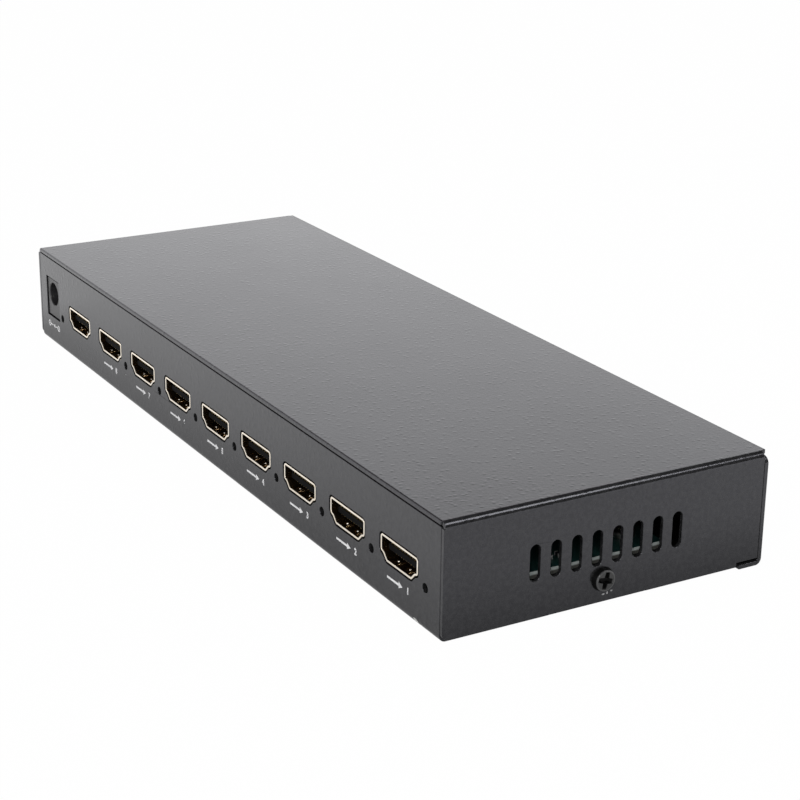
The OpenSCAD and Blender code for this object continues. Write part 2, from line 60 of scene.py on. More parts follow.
scene = bpy.context.scene
nodes = frame["nodes"]
mm = 0.001
tiny = 0.01 * mm
print("frame loaded,", len(nodes), "nodes")


# Small helpers for modelling by hand

def selectNone():
    if bpy.context.object and bpy.context.object.mode != "OBJECT":
        bpy.ops.object.mode_set(mode="OBJECT")
    bpy.ops.object.select_all(action="DESELECT")


def makeActive(piece):
    selectNone()
    piece.select_set(True)
    bpy.context.view_layer.objects.active = piece


def editAll(piece):
    makeActive(piece)
    bpy.ops.object.mode_set(mode="EDIT")
    bpy.ops.mesh.select_all(action="SELECT")


def applyModifier(piece, kind, **settings):
    makeActive(piece)
    modifier = piece.modifiers.new(kind.lower(), kind)
    for key, value in settings.items():
        setattr(modifier, key, value)
    bpy.ops.object.modifier_apply(modifier=modifier.name)


def pickFaces(piece, test):
    # selects the faces whose centre and normal pass the test, and enters edit mode
    editAll(piece)
    bpy.ops.mesh.select_all(action="DESELECT")
    bpy.ops.object.mode_set(mode="OBJECT")
    for face in piece.data.polygons:
        face.select = test(face.center, face.normal)
    bpy.ops.object.mode_set(mode="EDIT")
    bpy.ops.mesh.select_mode(type="FACE")


def pickEdges(piece, test):
    # selects the edges whose two ends pass the test, and enters edit mode
    editAll(piece)
    bpy.ops.mesh.select_mode(type="EDGE")
    bpy.ops.mesh.select_all(action="DESELECT")
    bpy.ops.object.mode_set(mode="OBJECT")
    for edge in piece.data.edges:
        edge.select = all(test(piece.data.vertices[corner].co) for corner in edge.vertices)
    bpy.ops.object.mode_set(mode="EDIT")


def applyPlace(piece):
    makeActive(piece)
    bpy.ops.object.transform_apply(location=True, rotation=True, scale=True)


def setFinish(piece, finish):
    piece.data.materials.clear()
    piece.data.materials.append(finish)


def copyPiece(piece, name, move=(0, 0, 0)):
    twin = bpy.data.objects.new(name, piece.data.copy())
    scene.collection.objects.link(twin)
    twin.data.transform(Matrix.Translation(Vector(move)))
    return twin


def copyNode(node, name):
    # a merged copy of a CAD node, with its flat faces joined up
    piece = bpy.data.objects.new(name, nodes[node].data.copy())
    scene.collection.objects.link(piece)
    editAll(piece)
    bpy.ops.mesh.customdata_custom_splitnormals_clear()
    bpy.ops.mesh.remove_doubles(threshold=0.002 * mm)
    bpy.ops.mesh.dissolve_limited(angle_limit=math.radians(0.6))
    bpy.ops.object.mode_set(mode="OBJECT")
    return piece


def breakEdges(piece, width, segments=2, angle=32):
    makeActive(piece)
    bpy.ops.object.shade_smooth()
    applyModifier(piece, "BEVEL", width=width * mm, segments=segments, limit_method="ANGLE",
                  angle_limit=math.radians(angle), use_clamp_overlap=False, harden_normals=True)


def weighEdges(piece, width, chosen, segments=4, angle=32):
    # rounds every sharp edge, and the chosen ones more: pairs of a width and a test
    widest = max([width] + [more for more, test in chosen])
    editAll(piece)
    bpy.ops.mesh.select_mode(type="EDGE")
    bpy.ops.mesh.select_all(action="DESELECT")
    bpy.ops.mesh.edges_select_sharp(sharpness=math.radians(angle))
    bpy.ops.transform.edge_bevelweight(value=width / widest)
    for more, test in chosen:
        pickEdges(piece, test)
        bpy.ops.transform.edge_bevelweight(value=(more - width) / widest)
    makeActive(piece)
    bpy.ops.object.shade_smooth()
    applyModifier(piece, "BEVEL", width=widest * mm, segments=segments, limit_method="WEIGHT",
                  use_clamp_overlap=False, harden_normals=True)


# Shader maths as plain expressions

class Wire:
    def __init__(self, tree, socket=None):
        self.tree = tree
        self.socket = socket

    def node(self, kind, settings=None, sockets=None, out=0):
        made = self.tree.nodes.new("ShaderNode" + kind)
        for key, value in (settings or {}).items():
            if key == "stops":
                ramp = made.color_ramp.elements
                while len(ramp) < len(value):
                    ramp.new(1)
                for stop, (place, colour) in zip(ramp, value):
                    stop.position = place
                    stop.color = (*colour, 1) if len(colour) == 3 else colour
            else:
                setattr(made, key, value)
        for key, value in (sockets or {}).items():
            if isinstance(value, Wire):
                self.tree.links.new(value.socket, made.inputs[key])
            elif isinstance(value, tuple) and made.inputs[key].type == "RGBA":
                made.inputs[key].default_value = (*value[:3], 1)
            else:
                made.inputs[key].default_value = value
        return Wire(self.tree, made.outputs[out] if len(made.outputs) else None)

    def math(self, operation, first, second=0.0):
        return self.node("Math", {"operation": operation}, {0: first, 1: second})

    def __add__(self, other):
        return self.math("ADD", self, other)

    def __radd__(self, other):
        return self.math("ADD", other, self)

    def __sub__(self, other):
        return self.math("SUBTRACT", self, other)

    def __rsub__(self, other):
        return self.math("SUBTRACT", other, self)

    def __mul__(self, other):
        return self.math("MULTIPLY", self, other)

    def __rmul__(self, other):
        return self.math("MULTIPLY", other, self)

    def __truediv__(self, other):
        return self.math("DIVIDE", self, other)

    def __gt__(self, other):
        return self.math("GREATER_THAN", self, other)

    def __lt__(self, other):
        return self.math("LESS_THAN", self, other)

    def __abs__(self):
        return self.math("ABSOLUTE", self)

    def top(self, other):
        return self.math("MAXIMUM", self, other)

    def least(self, other):
        return self.math("MINIMUM", self, other)


def newMaterial(name):
    finish = bpy.data.materials.new(name)
    finish.use_nodes = True
    finish.node_tree.nodes.clear()
    return finish, Wire(finish.node_tree)


def closeMaterial(wire, shader):
    wire.node("OutputMaterial", {}, {"Surface": shader})


def principled(wire, **sockets):
    names = {key.replace("_", " "): value for key, value in sockets.items()}
    return wire.node("BsdfPrincipled", {}, names)


def objectPlace(wire):
    return wire.node("TexCoord", {}, {}, "Object")


def noise(wire, place, scale, detail=2.0, roughness=0.5):
    return wire.node("TexNoise", {}, {"Vector": place, "Scale": scale, "Detail": detail,
                                      "Roughness": roughness}, "Fac")


def axisOf(wire, place, axis):
    return wire.node("SeparateXYZ", {}, {0: place}, axis)


def mixColour(wire, factor, first, second):
    return wire.node("Mix", {"data_type": "RGBA"}, {0: factor, 6: first, 7: second}, 2)


def softStep(wire, value, low, high):
    return wire.node("MapRange", {"interpolation_type": "SMOOTHSTEP"},
                     {"Value": value, "From Min": low, "From Max": high})


def bump(wire, height, depth, strength=1.0, under=None):
    sockets = {"Height": height, "Distance": depth, "Strength": strength}
    if under:
        sockets["Normal"] = under
    return wire.node("Bump", {}, sockets)


# Camera, floor and light

shot = {"place": (0.40549, -0.22127, 0.17627), "turn": 59.849, "tilt": 70.078, "roll": 0.715, "lens": 89.117,
        "sensor": 36, "clip": (0.01, 60)}


def setCamera():
    data = bpy.data.cameras.new("shotCamera")
    data.lens = shot["lens"]
    data.sensor_width = shot["sensor"]
    data.clip_start, data.clip_end = shot["clip"]
    stand = bpy.data.objects.new("shotCamera", data)
    scene.collection.objects.link(stand)
    turn = (Matrix.Rotation(math.radians(shot["turn"]), 4, "Z")
            @ Matrix.Rotation(math.radians(shot["tilt"]), 4, "X")
            @ Matrix.Rotation(math.radians(shot["roll"]), 4, "Z"))
    stand.matrix_world = Matrix.Translation(Vector(shot["place"])) @ turn
    scene.camera = stand


# lamps: place in metres, size in metres, power in watts
studio = {"floorSize": 14, "floorDrop": 0.03, "floorShade": 0.88, "seenGlow": 0.99,
          "mirrorLevel": 0.95, "mirrorDip": 0.06, "mirrorSlope": (1.6, 1.5), "mirrorTop": 2,
          "contact": 0.45, "contactFrom": (-10, 30),
          "sweep": 1.37, "sweepTop": (0.42, 0.56), "sweepSide": (0.4, 0.68), "ceiling": 0.1, "sky": (0.984, 0.984, 1.0),
          "lamps": {"softbox": ((0.68, 0.62, 0.99), 0.4, 3.8), "fill": ((0.79, -0.58, 0.53), 0.35, 5.5)}}


def setStudio():
    selectNone()
    bpy.ops.mesh.primitive_plane_add(size=studio["floorSize"], location=(0, 0, -studio["floorDrop"] * mm))
    floor = bpy.context.object
    floor.name = "studioFloor"
    finish, wire = newMaterial("paleFloor")
    rays = wire.node("LightPath", {}, {}, "Is Camera Ray")
    paths = rays.socket.node.outputs
    mirrored = Wire(wire.tree, paths["Is Glossy Ray"]).top(Wire(wire.tree, paths["Is Transmission Ray"]))
    seen = (rays * studio["seenGlow"]).top(mirrored)
    shade = wire.node("BsdfDiffuse", {}, {"Color": (studio["floorShade"],) * 3})
    # the floor that the walls mirror glows with a painted light gradient, brighter away from the middle and towards the
    # back, and with a painted contact shadow close to the box; the floor that the camera sees is even
    along, across = (axisOf(wire, objectPlace(wire), axis) for axis in range(2))
    slope, backSlope = studio["mirrorSlope"]
    level = abs(along - studio["mirrorDip"]) * slope + across.top(0) * backSlope + studio["mirrorLevel"]
    # painted contact shadow: the mirrored glow dims close to the box
    away = (abs(along) - cadBox[1].x).top(abs(across) - cadBox[1].y)
    near, far = studio["contactFrom"]
    clear = softStep(wire, away, near * mm, far * mm)
    level = (level * (studio["contact"] + (1 - studio["contact"]) * clear)).least(studio["mirrorTop"])
    glow = wire.node("Emission", {}, {"Color": level + (1 - level) * rays, "Strength": 1.0})
    closeMaterial(wire, wire.node("MixShader", {}, {0: seen, 1: shade, 2: glow}))
    setFinish(floor, finish)
    world = bpy.data.worlds.new("studioWorld")
    world.use_nodes = True
    world.node_tree.nodes.clear()
    sky = Wire(world.node_tree)
    # a white sweep low down and to the left, a dim room above and to the right, plain white for the camera
    towards = sky.node("TexCoord", {}, {}, "Generated")
    above = softStep(sky, axisOf(sky, towards, 2), *studio["sweepTop"])
    aside = softStep(sky, axisOf(sky, towards, 0), *studio["sweepSide"])
    level = studio["ceiling"] + (studio["sweep"] - studio["ceiling"]) * (1 - above) * (1 - aside)
    level = level.top(sky.node("LightPath", {}, {}, "Is Camera Ray"))
    sky.node("OutputWorld", {}, {0: sky.node("Background", {}, {"Color": studio["sky"], "Strength": level})})
    scene.world = world
    for name, (place, size, power) in studio["lamps"].items():
        data = bpy.data.lights.new(name, "AREA")
        data.size, data.energy = size, power
        lamp = bpy.data.objects.new(name, data)
        scene.collection.objects.link(lamp)
        place = Vector(place)
        lamp.matrix_world = Matrix.Translation(place) @ place.to_track_quat("Z", "Y").to_matrix().to_4x4()
    scene.view_settings.view_transform = "Standard"


setCamera()
setStudio()
print("camera, floor and light set")


# Finishes

# chips and scuffs: middle along the wall, height, half width and half height in mm
casePaint = {"dark": (0.007, 0.007, 0.0073), "pale": (0.021, 0.0209, 0.0215), "gloss": 0.19, "tint": (0.91, 0.91, 1.0),
             "peelScale": 1200, "peelDepth": 0.027 * mm, "grainScale": 5200, "grainDepth": 0.0016 * mm,
             "cloudScale": 45, "mottleScale": 950, "mottleRange": (0.34, 0.66), "mottleShare": 0.7,
             "nibScale": 620, "nibDepth": 0.022 * mm, "nibEdge": (0.05, 0.42), "nibLuck": 0.12,
             "speckScale": 90, "speckSize": 0.018, "speckLuck": 0.6, "dust": (0.5, 0.49, 0.48),
             "raggedScale": 1700, "ragged": 3.2, "patchEdge": 0.9, "chipDepth": 1.3, "scuffDepth": 2.5,
             "chips": ((100.1, 0.85, 0.95, 0.6), (102.3, 0.5, 0.5, 0.3)),
             "scuffs": ((-1.54, 2.34, 0.36, 0.2), (-0.6, 2.46, 0.25, 0.3), (0.46, 2.71, 0.28, 0.18)),
             "primer": (0.6, 0.6, 0.58), "scuffed": (0.3, 0.3, 0.3)}


def paintedSteel():
    finish, wire = newMaterial("blackPaintedSteel")
    place = objectPlace(wire)
    x, y, z = (axisOf(wire, place, axis) for axis in range(3))
    peel = noise(wire, place, casePaint["peelScale"], 2.5, 0.55)
    grain = noise(wire, place, casePaint["grainScale"], 2.0)
    cloud = noise(wire, place, casePaint["cloudScale"], 4.0, 0.6)
    mottle = softStep(wire, noise(wire, place, casePaint["mottleScale"], 3.0, 0.6), *casePaint["mottleRange"])
    share = casePaint["mottleShare"]
    colour = mixColour(wire, mottle * share + cloud * (1 - share), casePaint["dark"], casePaint["pale"])
    # nibs: low round lumps, one in each lucky cell
    lumps = wire.node("TexVoronoi", {"feature": "F1"}, {"Vector": place, "Scale": casePaint["nibScale"]}, "Distance")
    luck = axisOf(wire, Wire(wire.tree, lumps.socket.node.outputs["Color"]), 0)
    nib = (1 - softStep(wire, lumps, *casePaint["nibEdge"])) * (luck > casePaint["nibLuck"])
    # a few pale dust specks
    cells = wire.node("TexVoronoi", {"feature": "F1"},
                      {"Vector": place, "Scale": casePaint["speckScale"]}, "Distance")
    chance = axisOf(wire, Wire(wire.tree, cells.socket.node.outputs["Color"]), 0)
    speck = (cells < casePaint["speckSize"]) * (chance > casePaint["speckLuck"])
    colour = mixColour(wire, speck * 0.6, colour, casePaint["dust"])
    # chips down to the primer at the lower front edge, and scuffs under the cover screw
    ragged = (noise(wire, place, casePaint["raggedScale"], 3.0, 0.65) - 0.5) * casePaint["ragged"]

    def patches(along, spots):
        mask = 0
        for middle, height, wide, tall in spots:
            across, up = (along - middle * mm) / (wide * mm), (z - height * mm) / (tall * mm)
            mask = ((across * across + up * up + ragged) < casePaint["patchEdge"]) + mask
        return mask

    chip = patches(x, casePaint["chips"]) * (y < cadBox[0].y + casePaint["chipDepth"] * mm)
    scuff = patches(y, casePaint["scuffs"]) * (x > cadBox[1].x - casePaint["scuffDepth"] * mm)
    colour = mixColour(wire, chip, colour, casePaint["primer"])
    colour = mixColour(wire, scuff, colour, casePaint["scuffed"])
    gloss = casePaint["gloss"] + (cloud - 0.5) * 0.1 + (grain - 0.5) * 0.06 + (speck + chip + scuff) * 0.3
    surface = bump(wire, peel, casePaint["peelDepth"])
    surface = bump(wire, nib, casePaint["nibDepth"], 1.0, surface)
    surface = bump(wire, grain, casePaint["grainDepth"], 1.0, surface)
    closeMaterial(wire, principled(wire, Base_Color=colour, Roughness=gloss, Normal=surface, IOR=1.5,
                                   Specular_Tint=casePaint["tint"]))
    return finish


# faceDepth is under the top of the head; the range of the painted highlight ring is from its axis
# side colour is painted shade, face colour is painted light, rim colour is a painted highlight ring
screwPaint = {"side": (0.003, 0.003, 0.0031), "face": (0.013, 0.013, 0.0135), "rim": (0.055, 0.055, 0.056),
              "faceDepth": (0.3, 0.14), "rimHighlightRange": (1.92, 2.08)}


def screwBlack():
    # blackened steel: matt round the side of the head, coated on the driven face; the side is painted near black as
    # painted shade, the face painted greyer and brighter as painted light, with a painted highlight ring at its rim
    finish, wire = newMaterial("blackenedScrew")
    place = objectPlace(wire)
    low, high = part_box("cover_screw_right")
    middle = (low + high) / 2
    x, y, z = (axisOf(wire, place, axis) for axis in range(3))
    y, z = y - middle.y, z - middle.z
    radius = wire.math("SQRT", y * y + z * z)
    cloud = noise(wire, place, 900, 4.0, 0.6)
    face = softStep(wire, abs(x), *(high.x - depth * mm for depth in screwPaint["faceDepth"]))
    # painted highlight ring round the edge of the face, over painted light on the face and painted shade on the side
    rim = softStep(wire, radius, *(reach * mm for reach in screwPaint["rimHighlightRange"])) * face
    colour = mixColour(wire, face, screwPaint["side"], screwPaint["face"])
    colour = mixColour(wire, rim * 0.8, colour, screwPaint["rim"])
    closeMaterial(wire, principled(wire, Base_Color=colour, Roughness=0.3 + cloud * 0.16, Specular_IOR_Level=0.08,
                                   Coat_Weight=face, Coat_Roughness=0.2, Normal=bump(wire, cloud, 0.004 * mm)))
    return finish


def plated(name, colour, dull, roughness, scale, recessShade=None):
    # thin plating over stamped sheet, with drawing lines and cloudy tarnish, and a darker tint painted in behind the
    # port wall as painted shade inside the socket
    finish, wire = newMaterial(name)
    place = objectPlace(wire)
    cloud = noise(wire, place, scale, 3.0, 0.6)
    lines = noise(wire, wire.node("Mapping", {}, {"Vector": place, "Scale": (3000.0, 220.0, 3000.0)}), 1.0, 2.0)
    tint = mixColour(wire, softStep(wire, cloud, 0.4, 0.75), colour, dull)
    # painted shade: past the front of the case the gold turns to the darker recess colour
    if recessShade:
        front = cadBox[0].y
        recessShadeMask = softStep(wire, axisOf(wire, place, 1), front + 0.15 * mm, front + 0.5 * mm)
        tint = mixColour(wire, recessShadeMask, tint, recessShade)
    closeMaterial(wire, principled(wire, Base_Color=tint, Metallic=1.0,
                                   Roughness=roughness + cloud * 0.12 + lines * 0.06,
                                   Normal=bump(wire, lines, 0.002 * mm)))
    return finish


def moulded(name, colour, light, roughness, sheen=0.5):
    # glass-filled moulding: fine spark texture and faint flow marks
    finish, wire = newMaterial(name)
    place = objectPlace(wire)
    spark = noise(wire, place, 6500, 2.0)
    flow = noise(wire, wire.node("Mapping", {}, {"Vector": place, "Scale": (160.0, 60.0, 400.0)}), 1.0, 3.0)
    closeMaterial(wire, principled(wire, Base_Color=mixColour(wire, flow, colour, light),
                                   Roughness=roughness + (spark - 0.5) * 0.14, Specular_IOR_Level=sheen,
                                   Normal=bump(wire, spark, 0.0035 * mm)))
    return finish


def boardFinish():
    # green mask over copper runs, with bare glass fibre at the cut edges
    finish, wire = newMaterial("circuitBoard")
    place = objectPlace(wire)
    runs = wire.node("TexBrick", {"offset": 0.37, "squash": 1.6, "squash_frequency": 3},
                     {"Vector": place, "Scale": 320.0, "Mortar Size": 0.03, "Brick Width": 2.6,
                      "Row Height": 0.34}, "Fac")
    islands = softStep(wire, noise(wire, place, 150, 2.0), 0.5, 0.53)
    copper = (1 - runs) * (0.35 + 0.65 * islands)
    mask = mixColour(wire, copper, (0.008, 0.028, 0.026), (0.014, 0.055, 0.05))
    upright = abs(axisOf(wire, wire.node("NewGeometry", {}, {}, "Normal"), 2))
    weave = noise(wire, wire.node("Mapping", {}, {"Vector": place, "Scale": (1500.0, 1500.0, 9000.0)}), 1.0, 2.0)
    edge = mixColour(wire, weave, (0.55, 0.61, 0.59), (0.75, 0.8, 0.78))
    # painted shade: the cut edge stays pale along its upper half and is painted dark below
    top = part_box("main_board")[1].z
    litUpperEdge = softStep(wire, axisOf(wire, place, 2), top - 0.9 * mm, top - 0.5 * mm)
    edge = mixColour(wire, litUpperEdge, (0.1, 0.1, 0.09), edge)
    cut = upright < 0.5
    closeMaterial(wire, principled(wire, Base_Color=mixColour(wire, cut, mask, edge), Roughness=0.32 + 0.4 * cut,
                                   Normal=bump(wire, copper, 0.03 * mm)))
    return finish


def lensFinish():
    # smoky epoxy, dark while the light is off
    finish, wire = newMaterial("smokyLens")
    place = objectPlace(wire)
    haze = noise(wire, place, 1600, 3.0)
    colour = mixColour(wire, haze, (0.03, 0.031, 0.03), (0.05, 0.051, 0.05))
    closeMaterial(wire, principled(wire, Base_Color=colour, Roughness=0.16 + haze * 0.12, Specular_IOR_Level=0.12,
                                   Normal=bump(wire, haze, 0.004 * mm)))
    return finish


def grainy(name, colour, light, roughness, scale, depth):
    # fine-grained body of a board part
    finish, wire = newMaterial(name)
    place = objectPlace(wire)
    grain = noise(wire, place, scale, 4.0, 0.65)
    closeMaterial(wire, principled(wire, Base_Color=mixColour(wire, grain, colour, light),
                                   Roughness=roughness + (grain - 0.5) * 0.2,
                                   Normal=bump(wire, grain, depth * mm)))
    return finish


def tinnedChip():
    # chip resistors by the slots: black glaze between two tinned ends
    finish, wire = newMaterial("tinnedChip")
    place = objectPlace(wire)
    low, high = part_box("end_resistors")
    grain = noise(wire, place, 4200, 3.0)
    tin = abs(axisOf(wire, place, 0) - (low.x + high.x) / 2) > 0.45 * mm
    closeMaterial(wire, principled(wire, Base_Color=mixColour(wire, tin, (0.012, 0.012, 0.013), (0.5, 0.5, 0.49)),
                                   Metallic=tin * 0.3, Roughness=0.25 + grain * 0.2,
                                   Normal=bump(wire, grain, 0.01 * mm)))
    return finish


def screenInk():
    # white ink through a mesh, thin in places
    finish, wire = newMaterial("screenInk")
    place = objectPlace(wire)
    cover = noise(wire, place, 5200, 3.0, 0.6)
    colour = mixColour(wire, softStep(wire, cover, 0.3, 0.62), (0.6, 0.6, 0.61), (0.95, 0.95, 0.95))
    closeMaterial(wire, principled(wire, Base_Color=colour, Roughness=0.5 + cover * 0.15,
                                   Normal=bump(wire, cover, 0.003 * mm)))
    return finish


paint = paintedSteel()
inkWhite = screenInk()
screwFinish = screwBlack()
# the last colour of the shell gold is the painted shade deep in the sockets
shellGold = plated("shellGold", (1.0, 0.92, 0.8), (0.97, 0.85, 0.68), 0.16, 700, (0.3, 0.21, 0.12))
# a whiter, lit copy of the shell gold without its painted shade, so the contact domes show as bright glints deep in the
# socket
unshadedDomeGold = plated("unshadedDomeGold", (1.0, 0.93, 0.82), (0.95, 0.84, 0.68), 0.2, 900)
contactGold = plated("contactGold", (0.9, 0.66, 0.28), (0.72, 0.5, 0.2), 0.16, 1500)
nickel = plated("nickelPlate", (0.68, 0.66, 0.62), (0.5, 0.48, 0.45), 0.22, 900)
brass = plated("standoffBrass", (0.78, 0.58, 0.26), (0.6, 0.43, 0.18), 0.28, 600)
tonguePlastic = moulded("tonguePlastic", (0.003, 0.003, 0.003), (0.005, 0.005, 0.005), 0.6, 0.03)
jackPlastic = moulded("jackPlastic", (0.014, 0.014, 0.015), (0.024, 0.024, 0.025), 0.4)
boardGreen = boardFinish()
smokyLens = lensFinish()
chipEpoxy = grainy("chipEpoxy", (0.012, 0.012, 0.013), (0.03, 0.03, 0.031), 0.55, 4200, 0.006)
ferrite = grainy("greyFerrite", (0.04, 0.04, 0.042), (0.09, 0.09, 0.09), 0.7, 2600, 0.012)
ceramic = grainy("tanCeramic", (0.42, 0.3, 0.18), (0.55, 0.4, 0.26), 0.5, 3000, 0.005)
slotFinish = {"case_paint": paint, "screw_black": screwFinish, "port_gold": shellGold, "port_plastic": tonguePlastic,
              "contact_gold": contactGold, "jack_plastic": jackPlastic, "nickel": nickel, "board": boardGreen,
              "standoff_brass": brass, "led_lens": smokyLens, "chip": chipEpoxy, "ferrite": ferrite,
              "ceramic": ceramic}
print("finishes made:", len(slotFinish))


# Every CAD node gets its finish, also those that a dressed piece hides later
for part in frame["record"]["subparts"]:
    for place in nodes[part["node"]].material_slots:
        place.material = slotFinish[part["material_slot"]]
resistorTin = tinnedChip()
for place in nodes["end_resistors"].material_slots:
    place.material = resistorTin


def dressed(piece, node, body, slot, finished=False):
    if not finished:
        setFinish(piece, slotFinish[slot])
    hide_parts(node)
    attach(piece, body)


# Bent sheets of the case

caseSheets = {"edge": 0.14, "frontOuter": 0.45, "frontInner": 0.22, "bend": 1.4, "sheet": 1.0}


def onFront(low, high, inset):
    # a test for the cover's front cut along the top and its two bends, at a depth under its outer face
    def test(at):
        if abs(at.y - low.y) > 0.01 * mm:
            return False
        bend, across, up = caseSheets["bend"] * mm, high.x - abs(at.x), high.z - at.z
        if up > bend + tiny:
            return False
        depth = bend - math.hypot(bend - across, bend - up) if across < bend else up
        return abs(depth - inset * mm) < 0.02 * mm
    return test


def dressCase():
    low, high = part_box("top_cover")
    cover = copyNode("top_cover", "cover_sheet")
    weighEdges(cover, caseSheets["edge"], ((caseSheets["frontOuter"], onFront(low, high, 0)),
                                           (caseSheets["frontInner"], onFront(low, high, caseSheets["sheet"]))))
    dressed(cover, "top_cover", "case", "case_paint")
    tray = copyNode("base_tray", "tray_sheet")
    breakEdges(tray, caseSheets["edge"])
    dressed(tray, "base_tray", "case", "case_paint")


dressCase()
print("case sheets dressed")


# Sockets: one shell is dressed and copied along the row

socketShell = {"edge": 0.05, "opening": 4.6, "sheet": 0.45, "row": ["input"] + ["output_%d" % n for n in range(1, 9)],
               "dimpleX": 2.3, "dimpleDepth": 1.45, "dimpleRise": 0.2, "dimple": 0.3}


def addDimples(shell, low, high):
    # the lower fingers press on the plug with a small dome each
    floor = high.z - (socketShell["opening"] + socketShell["sheet"] - socketShell["dimpleRise"]) * mm
    domes = []
    for side in (-1, 1):
        selectNone()
        bpy.ops.mesh.primitive_uv_sphere_add(segments=24, ring_count=12, radius=socketShell["dimple"] * mm)
        dome = bpy.context.object
        dome.location = ((low.x + high.x) / 2 + side * socketShell["dimpleX"] * mm,
                         low.y + socketShell["dimpleDepth"] * mm, floor)
        applyPlace(dome)
        bpy.ops.object.shade_smooth()
        # the dome takes the lit copy of the gold, kept free of the painted shade inside the socket
        setFinish(dome, unshadedDomeGold)
        domes.append(dome)
    setFinish(shell, shellGold)
    makeActive(shell)
    for dome in domes:
        dome.select_set(True)
    bpy.ops.object.join()


def dressSockets():
    first = None
    for label in socketShell["row"]:
        node = label + "_port_shell"
        if not first:
            first = piece = copyNode(node, label + "_shell")
            home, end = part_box(node)
            breakEdges(piece, socketShell["edge"])
            addDimples(piece, home, end)
        else:
            piece = copyPiece(first, label + "_shell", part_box(node)[0] - home)
        dressed(piece, node, "case", "port_gold", True)


dressSockets()
print("sockets dressed:", len(socketShell["row"]))


# Power jack housing

jackBody = {"edge": 0.22, "leadIn": 0.35}


def dressJack():
    low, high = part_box("dc_jack_housing")
    socket = next(mount for mount in frame["record"]["mounts"] if mount["name"] == "dc_jack_socket")
    axisX, axisY, axisZ = socket["pos_m"]
    jack = copyNode("dc_jack_housing", "jack_housing")
    mouth = min(math.hypot(corner.co.x - axisX, corner.co.z - axisZ) for corner in jack.data.vertices
                if abs(corner.co.y - low.y) < tiny)
    weighEdges(jack, jackBody["edge"], ((jackBody["leadIn"], lambda at: abs(at.y - low.y) < tiny and abs(
        math.hypot(at.x - axisX, at.z - axisZ) - mouth) < 0.05 * mm),))
    dressed(jack, "dc_jack_housing", "case", "jack_plastic")


dressJack()
print("power jack dressed")


# Cover screws, modelled with the axis along Z and the seat at zero

coverScrew = {"head": 5.3, "face": 4.5, "headHeight": 1.3, "rim": 0.14, "shank": 2.9,
              "shankLength": 5.0, "pitch": 0.5, "threadDepth": 0.17, "cross": 5.0, "crossWidth": 1.85,
              "crossDepth": 0.95, "crossEnd": 0.72, "crossTurn": -14, "edge": 0.05, "edgeAngle": 38}


def screwHead():
    size = coverScrew
    selectNone()
    bpy.ops.mesh.primitive_cylinder_add(vertices=72, radius=size["head"] / 2 * mm, depth=size["headHeight"] * mm,
                                        location=(0, 0, size["headHeight"] / 2 * mm))
    screw = bpy.context.object
    applyPlace(screw)
    pickFaces(screw, lambda centre, normal: normal.z > 0.9)
    taper = size["face"] / size["head"]
    bpy.ops.transform.resize(value=(taper, taper, 1), center_override=(0, 0, 0))
    bpy.ops.mesh.region_to_loop()
    bpy.ops.mesh.bevel(offset=size["rim"] * mm, segments=4, profile=0.5)
    # shank with ridges in place of the thread, drawn out of the underside
    pickFaces(screw, lambda centre, normal: normal.z < -0.9)
    bpy.ops.mesh.inset(thickness=(size["head"] - size["shank"]) / 2 * mm)
    turns = int(size["shankLength"] / size["pitch"])
    waist = 1 - 2 * size["threadDepth"] / size["shank"]
    for half in range(2 * turns):
        bpy.ops.mesh.extrude_region_move(TRANSFORM_OT_translate={"value": (0, 0, -size["pitch"] / 2 * mm)})
        ratio = waist if half % 2 == 0 else 1 / waist
        bpy.ops.transform.resize(value=(ratio, ratio, 1), center_override=(0, 0, 0))
    bpy.ops.object.mode_set(mode="OBJECT")
    return screw


def crossCutter():
    # two tapered blades
    size = coverScrew
    blades = []
    for turn in (0, 90):
        selectNone()
        bpy.ops.mesh.primitive_cube_add(size=1)
        blade = bpy.context.object
        blade.scale = (size["cross"] * mm, size["crossWidth"] * mm, 2 * size["crossDepth"] * mm)
        applyPlace(blade)
        editAll(blade)
        bpy.ops.mesh.bisect(plane_co=(0, 0, 0), plane_no=(1, 0, 0))
        pickFaces(blade, lambda centre, normal: abs(normal.x) > 0.9)
        bpy.ops.transform.resize(value=(1, size["crossEnd"], 1), center_override=(0, 0, 0))
        pickFaces(blade, lambda centre, normal: normal.z < -0.9)
        bpy.ops.transform.resize(value=(0.5, 0.5, 1), center_override=(0, 0, 0))
        bpy.ops.object.mode_set(mode="OBJECT")
        blade.rotation_euler.z = math.radians(turn + size["crossTurn"])
        blade.location.z = size["headHeight"] * mm
        applyPlace(blade)
        blades.append(blade)
    makeActive(blades[0])
    applyModifier(blades[0], "BOOLEAN", operation="UNION", object=blades[1], solver="EXACT")
    bpy.data.objects.remove(blades[1])
    return blades[0]


def fitScrews():
    screw = screwHead()
    cutter = crossCutter()
    applyModifier(screw, "BOOLEAN", operation="DIFFERENCE", object=cutter, solver="EXACT")
    bpy.data.objects.remove(cutter)
    breakEdges(screw, coverScrew["edge"], angle=coverScrew["edgeAngle"])
    for side, turn in (("right", 1), ("left", -1)):
        node = "cover_screw_" + side
        low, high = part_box(node)
        fitted = copyPiece(screw, "screw_" + side)
        seat = high.x - coverScrew["headHeight"] * mm if turn > 0 else low.x + coverScrew["headHeight"] * mm
        fitted.rotation_euler = (0, turn * math.radians(90), 0)
        fitted.location = (seat, (low.y + high.y) / 2, (low.z + high.z) / 2)
        applyPlace(fitted)
        dressed(fitted, node, node, "screw_black")
    bpy.data.objects.remove(screw)


fitScrews()
print("cover screws fitted")


# Printed marks: an arrow and a plain number under each output, a polarity sign under the jack

